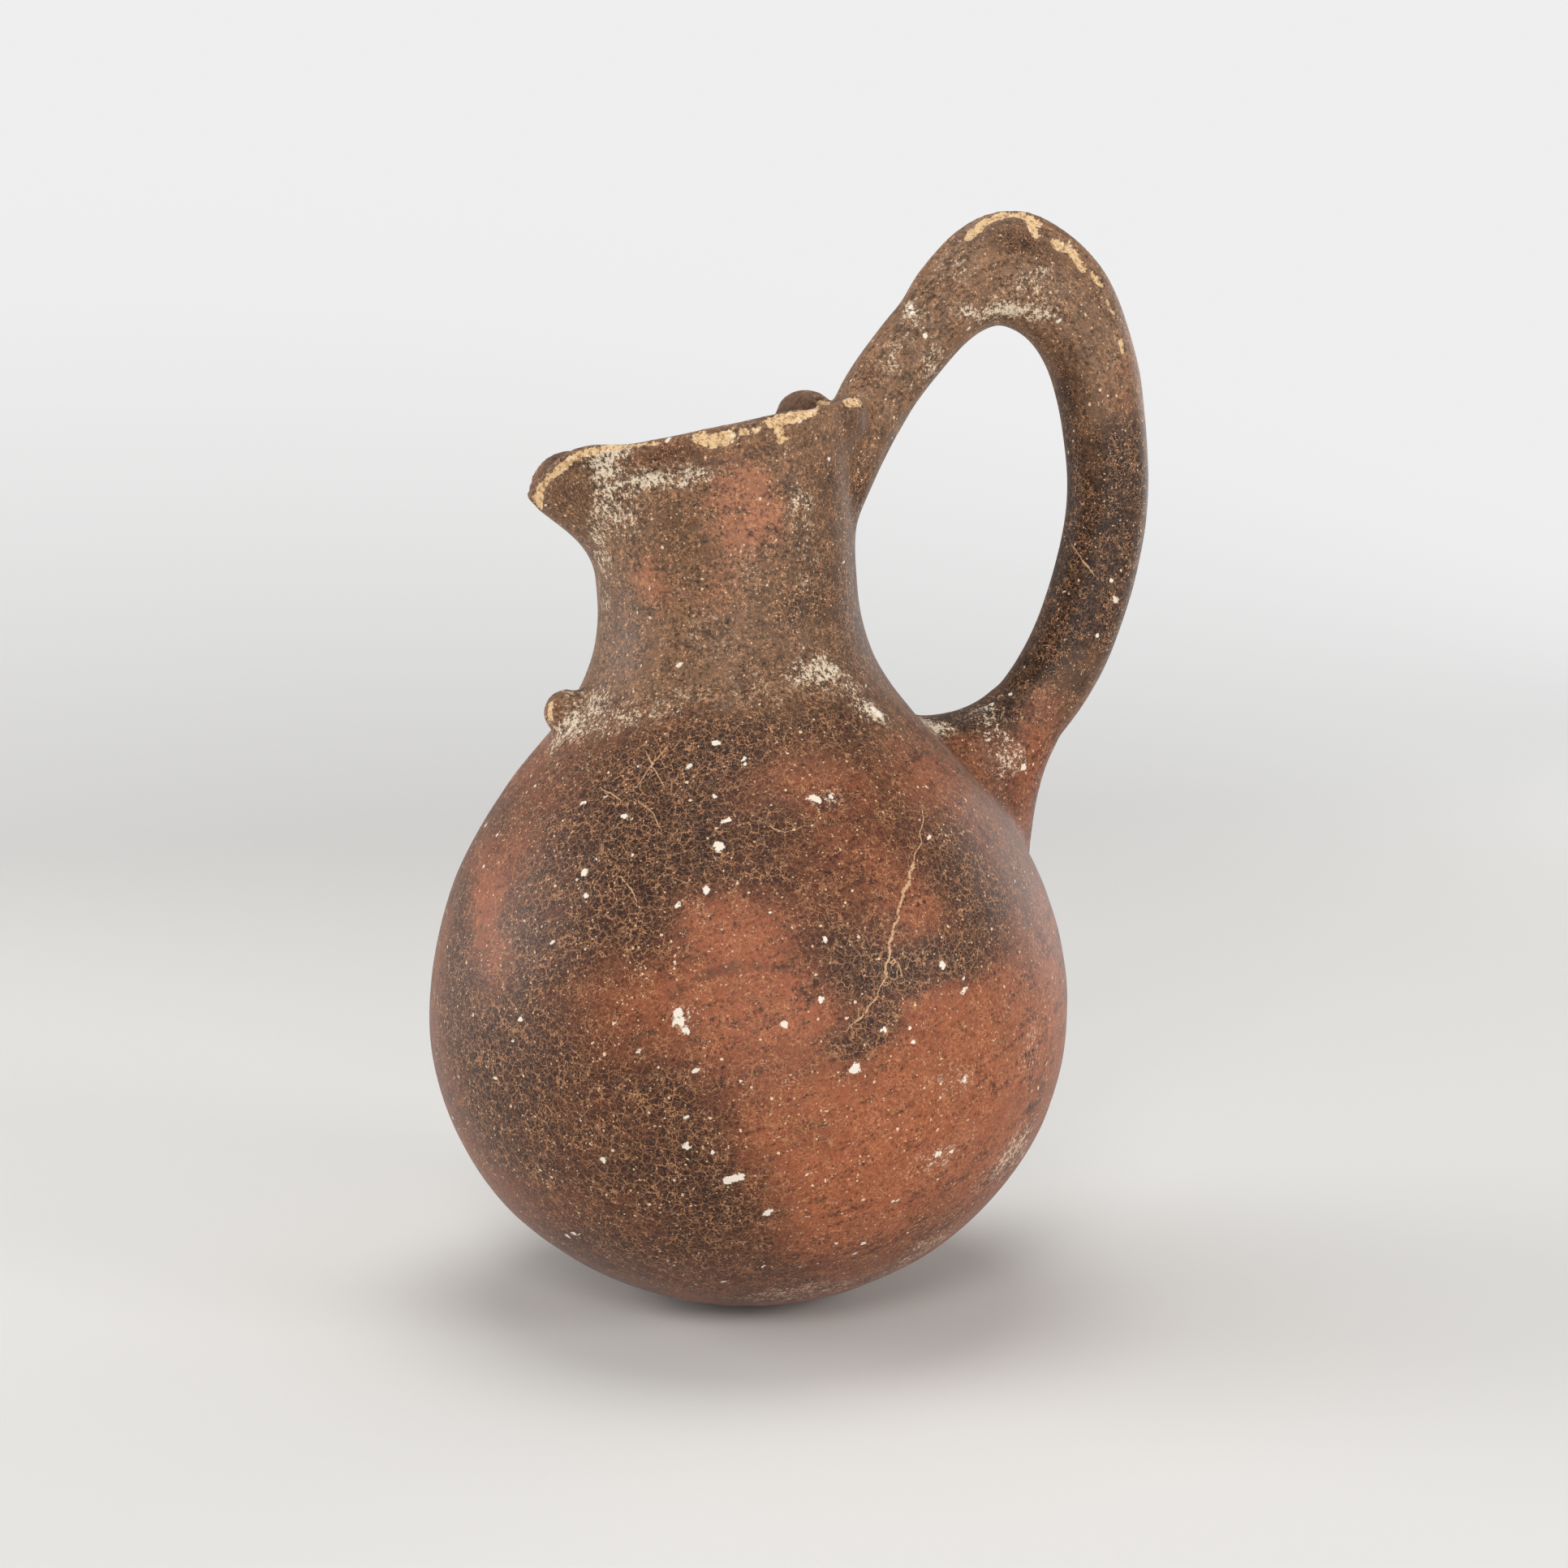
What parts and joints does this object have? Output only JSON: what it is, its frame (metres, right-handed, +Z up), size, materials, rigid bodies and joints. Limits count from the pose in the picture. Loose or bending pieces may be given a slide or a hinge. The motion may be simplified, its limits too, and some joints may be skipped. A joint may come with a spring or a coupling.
{
  "type": "wine jug",
  "caption": "Round-bodied hand-built clay wine jug with a leaning neck, a beaked pouring spout, a tall loop handle, a small front knob and two ears at the handle.",
  "frame": {"origin": "middle of the flat patch under the body that the jug stands on, on the body's axis", "axes": "+Z up the body's axis, -X towards the tip of the spout, +X towards the handle, Y across the jug"},
  "size_m": [0.1488, 0.1272, 0.2157],
  "materials": {
    "lower_body_clay": "burnished red-brown slip, worn and speckled, with dark firing clouds",
    "upper_body_clay": "burnished red-brown slip, worn and speckled, with dark firing clouds",
    "neck_clay": "burnished red-brown slip, worn and speckled, with dark firing clouds",
    "rim_clay": "burnished red-brown slip, worn and speckled, with dark firing clouds",
    "handle_clay": "burnished red-brown slip, worn and speckled, with dark firing clouds",
    "collar_clay": "burnished red-brown slip, worn and speckled, with dark firing clouds",
    "knob_clay": "burnished red-brown slip, worn and speckled, with dark firing clouds",
    "ear_clay": "burnished red-brown slip, worn and speckled, with dark firing clouds"
  },
  "bodies": {
    "root": {"body_lower": "lower_body_clay", "body_upper": "upper_body_clay", "neck": "neck_clay", "rim_spout": "rim_clay", "handle": "handle_clay", "handle_root_collar": "collar_clay", "front_knob": "knob_clay", "near_ear": "ear_clay", "far_ear": "ear_clay"}
  },
  "joints": []
}
